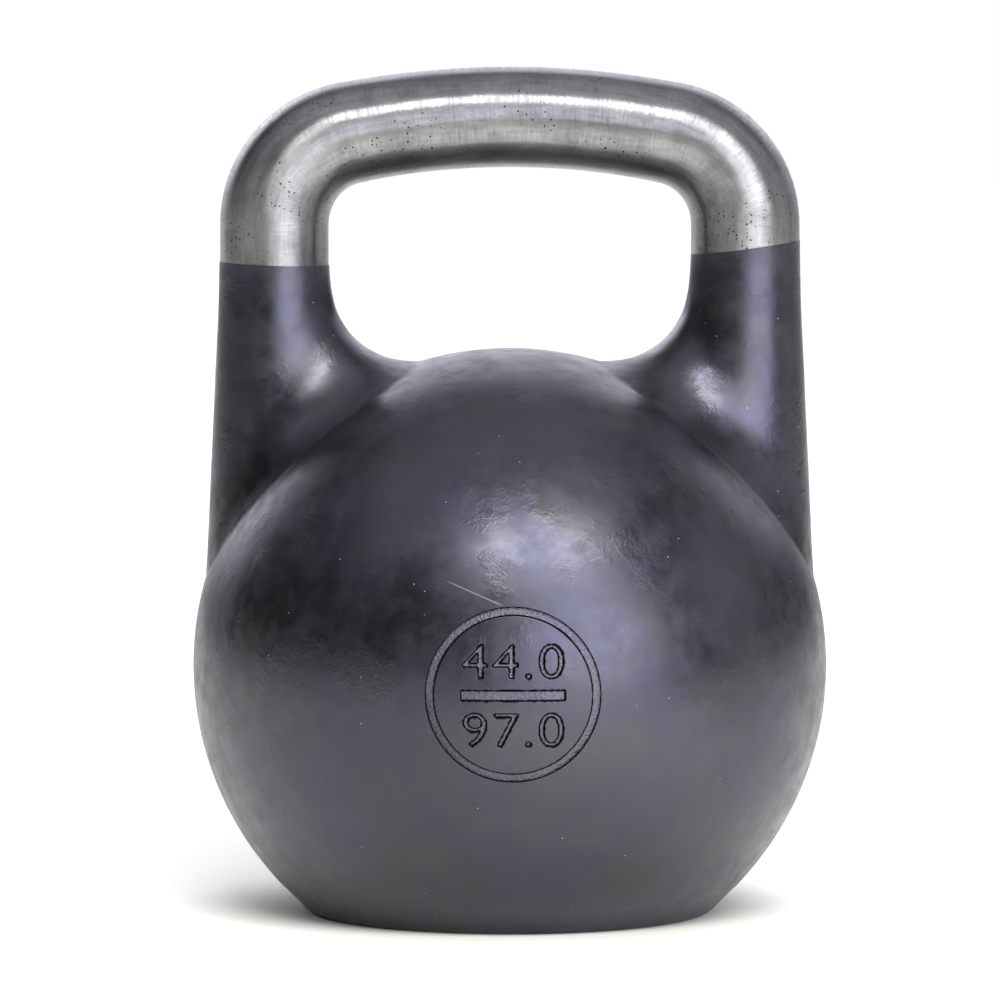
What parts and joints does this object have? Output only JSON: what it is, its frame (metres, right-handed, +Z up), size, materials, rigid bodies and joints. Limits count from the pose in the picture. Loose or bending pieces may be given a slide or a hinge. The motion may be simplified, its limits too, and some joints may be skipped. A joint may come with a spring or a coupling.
{
  "type": "competition kettlebell",
  "caption": "Round kettlebell with a flat foot, two painted horns, a bare ground steel handle, an engraved weight mark and a plugged, ballasted core.",
  "frame": {"origin": "centre of the foot ring, on the floor", "axes": "+Z up through the handle, +X towards the right horn seen from the front, -Y towards the weight mark"},
  "size_m": [0.21, 0.21, 0.28],
  "materials": {
    "charcoal_paint": "satin charcoal paint over a cast surface",
    "bare_steel": "ground bare steel",
    "poured_lead": "dull poured lead",
    "bonded_shot": "steel shot in resin",
    "felt": "pressed felt",
    "plated_steel": "zinc plated steel",
    "seal_rubber": "matte black rubber"
  },
  "bodies": {
    "root": {"bell_casting": "charcoal_paint", "handle": "bare_steel", "ballast_core": "poured_lead", "calibration_shot": "bonded_shot", "packing_pad": "felt", "base_plug": "plated_steel", "plug_seal": "seal_rubber", "lock_screw_left": "plated_steel", "lock_screw_right": "plated_steel"}
  },
  "joints": []
}
